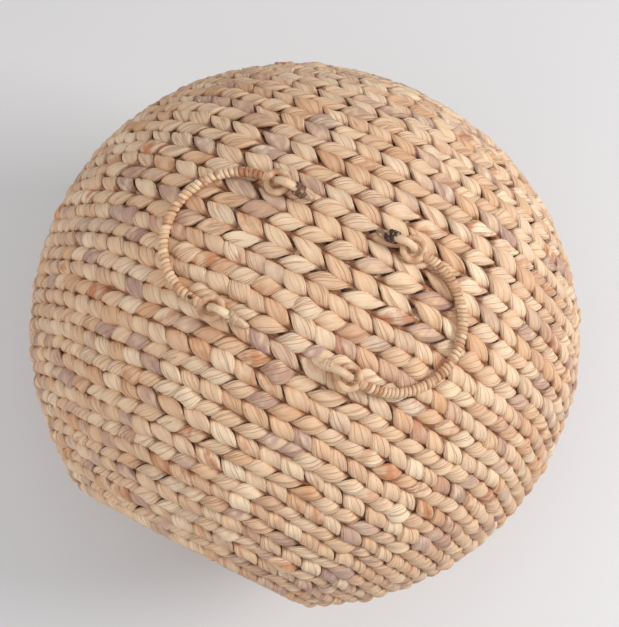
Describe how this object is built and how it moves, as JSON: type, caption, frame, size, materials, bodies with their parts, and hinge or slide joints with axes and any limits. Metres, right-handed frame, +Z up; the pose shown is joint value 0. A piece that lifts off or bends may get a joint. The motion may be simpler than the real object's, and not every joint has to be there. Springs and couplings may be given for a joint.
{
  "type": "round storage basket",
  "caption": "Ball-shaped woven storage basket lying on its belly, with a round side mouth and small bound cane handles folded out on top.",
  "frame": {"origin": "under the middle of the basket, on the surface it rests on", "axes": "+Z up through the handles, the round mouth faces -Y, +X to the right seen from the mouth"},
  "size_m": [0.444, 0.4096, 0.4462],
  "materials": {
    "woven_band": "matt dried fibre",
    "twisted_cord": "matt dried fibre",
    "frame_wire": "satin",
    "cane": "satin",
    "cane_binding": "satin",
    "cane_knot": "matt"
  },
  "bodies": {
    "basket": {"row_01": "woven_band", "row_02": "woven_band", "row_03": "woven_band", "row_04": "woven_band", "row_05": "woven_band", "row_06": "woven_band", "row_07": "woven_band", "row_08": "woven_band", "row_09": "woven_band", "row_10": "woven_band", "row_11": "woven_band", "row_12": "woven_band", "row_13": "woven_band", "row_14": "woven_band", "row_15": "woven_band", "row_16": "woven_band", "row_17": "woven_band", "row_18": "woven_band", "row_19": "woven_band", "row_20": "woven_band", "row_21": "woven_band", "row_22": "woven_band", "row_23": "woven_band", "row_24": "woven_band", "row_25": "woven_band", "row_26": "woven_band", "crown_button": "woven_band", "rim_cord": "twisted_cord", "mouth_hoop": "frame_wire", "belly_hoop": "frame_wire", "back_hoop": "frame_wire", "rib_1": "frame_wire", "rib_2": "frame_wire", "rib_3": "frame_wire", "rib_4": "frame_wire", "rib_5": "frame_wire", "rib_6": "frame_wire", "wall_loop_left_front": "cane", "wall_loop_left_back": "cane", "wall_loop_right_front": "cane", "wall_loop_right_back": "cane", "loop_knot_left_front": "cane_knot", "loop_knot_left_back": "cane_knot", "loop_knot_right_front": "cane_knot", "loop_knot_right_back": "cane_knot"},
    "left_handle": {"left_core": "cane", "left_binding": "cane_binding", "left_eye_front": "cane", "left_eye_back": "cane"},
    "right_handle": {"right_core": "cane", "right_binding": "cane_binding", "right_eye_front": "cane", "right_eye_back": "cane"}
  },
  "joints": [
    {"name": "left_handle_swing", "type": "hinge", "parent": "basket", "child": "left_handle", "pos_m": [-0.0415, -0.01926, 0.4344], "axis": [0, 0.9983, 0.0576], "range_deg": [0, 140]},
    {"name": "right_handle_swing", "type": "hinge", "parent": "basket", "child": "right_handle", "pos_m": [0.0415, -0.01926, 0.4344], "axis": [0, -0.9983, -0.0576], "range_deg": [0, 140]}
  ]
}
